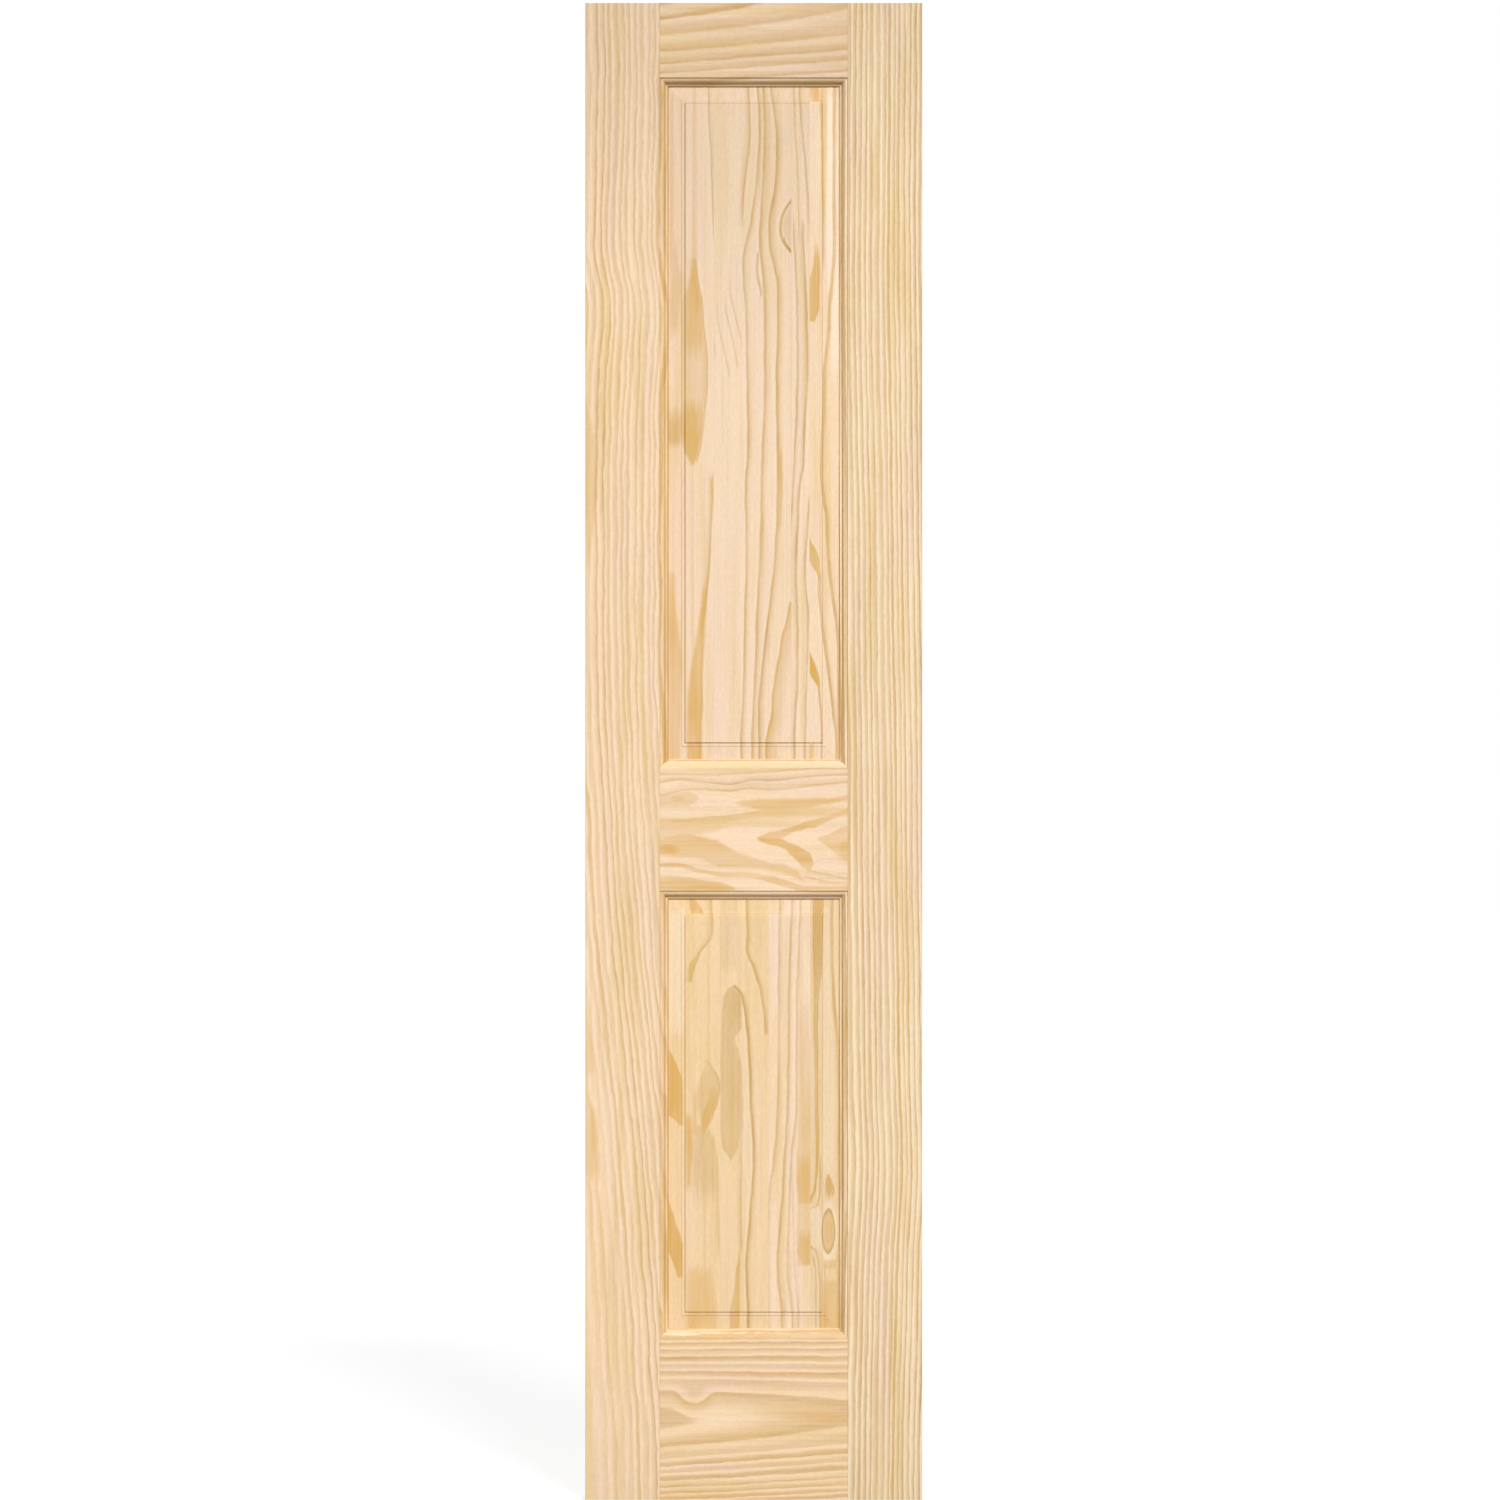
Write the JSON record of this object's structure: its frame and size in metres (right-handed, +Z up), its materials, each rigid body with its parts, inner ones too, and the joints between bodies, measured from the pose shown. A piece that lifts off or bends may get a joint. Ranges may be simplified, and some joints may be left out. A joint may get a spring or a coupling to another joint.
{
  "type": "panel door leaf",
  "caption": "Narrow unfinished pine door leaf of stiles and rails around two raised panels, moulded alike on both faces, to be hung by hinges on one edge.",
  "frame": {"origin": "on the hinge edge of the leaf, at its foot, in the middle of its thickness", "axes": "+X across the leaf from the hinge edge to the lock edge, -Y out of the front face, +Z up"},
  "size_m": [0.4572, 0.0348, 2.032],
  "materials": {
    "hinge_stile_pine": "bare sanded pine, fine wavy upright grain",
    "lock_stile_pine": "bare sanded pine, straight quarter-sawn grain",
    "rail_pine": "bare sanded pine, level grain with cathedral figure",
    "panel_pine": "bare sanded pine, edge-glued upright staves",
    "dowel_beech": "plain turned beech"
  },
  "bodies": {
    "root": {"hinge_stile": "hinge_stile_pine", "lock_stile": "lock_stile_pine", "top_rail": "rail_pine", "lock_rail": "rail_pine", "bottom_rail": "rail_pine", "upper_panel_stave_1": "panel_pine", "upper_panel_stave_2": "panel_pine", "upper_panel_stave_3": "panel_pine", "upper_panel_stave_4": "panel_pine", "lower_panel_stave_1": "panel_pine", "lower_panel_stave_2": "panel_pine", "lower_panel_stave_3": "panel_pine", "lower_panel_stave_4": "panel_pine", "top_rail_hinge_dowels": "dowel_beech", "top_rail_lock_dowels": "dowel_beech", "lock_rail_hinge_dowels": "dowel_beech", "lock_rail_lock_dowels": "dowel_beech", "bottom_rail_hinge_dowels": "dowel_beech", "bottom_rail_lock_dowels": "dowel_beech"}
  },
  "joints": []
}
